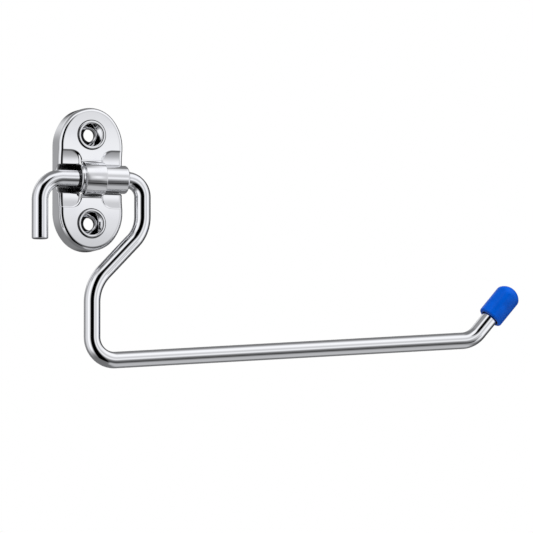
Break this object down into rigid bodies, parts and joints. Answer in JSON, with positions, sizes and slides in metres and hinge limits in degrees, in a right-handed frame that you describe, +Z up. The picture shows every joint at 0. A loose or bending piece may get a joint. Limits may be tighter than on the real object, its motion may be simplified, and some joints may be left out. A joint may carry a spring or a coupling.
{
  "type": "swivelling wall hook",
  "caption": "Wall hook: a bent round bar with a long arm and capped upturned tip swings in a sleeve held by a strap on a pressed oval plate with countersunk screw holes.",
  "frame": {"origin": "point of the wall behind the middle of the barrel, halfway between the two screw holes, in the plane of the plate's back rim", "axes": "+X along the hook's long arm, parallel to the wall; +Y into the wall; +Z up, along the plate's length"},
  "size_m": [0.1878, 0.015, 0.0946],
  "materials": {
    "plate": "bright chrome plate on pressed sheet",
    "sleeve": "bright chrome plate on tube",
    "wire": "bright chrome plate on round bar",
    "cap": "soft blue vinyl, satin to semi-gloss"
  },
  "bodies": {
    "bracket": {"wall_plate": "plate", "pivot_sleeve": "sleeve"},
    "hook": {"hook_wire": "wire", "end_cap": "cap"}
  },
  "joints": [
    {"name": "hook_swing", "type": "hinge", "parent": "bracket", "child": "hook", "pos_m": [0, -0.0089, 0], "axis": [-1, 0, 0], "range_deg": [-5, 185]}
  ]
}
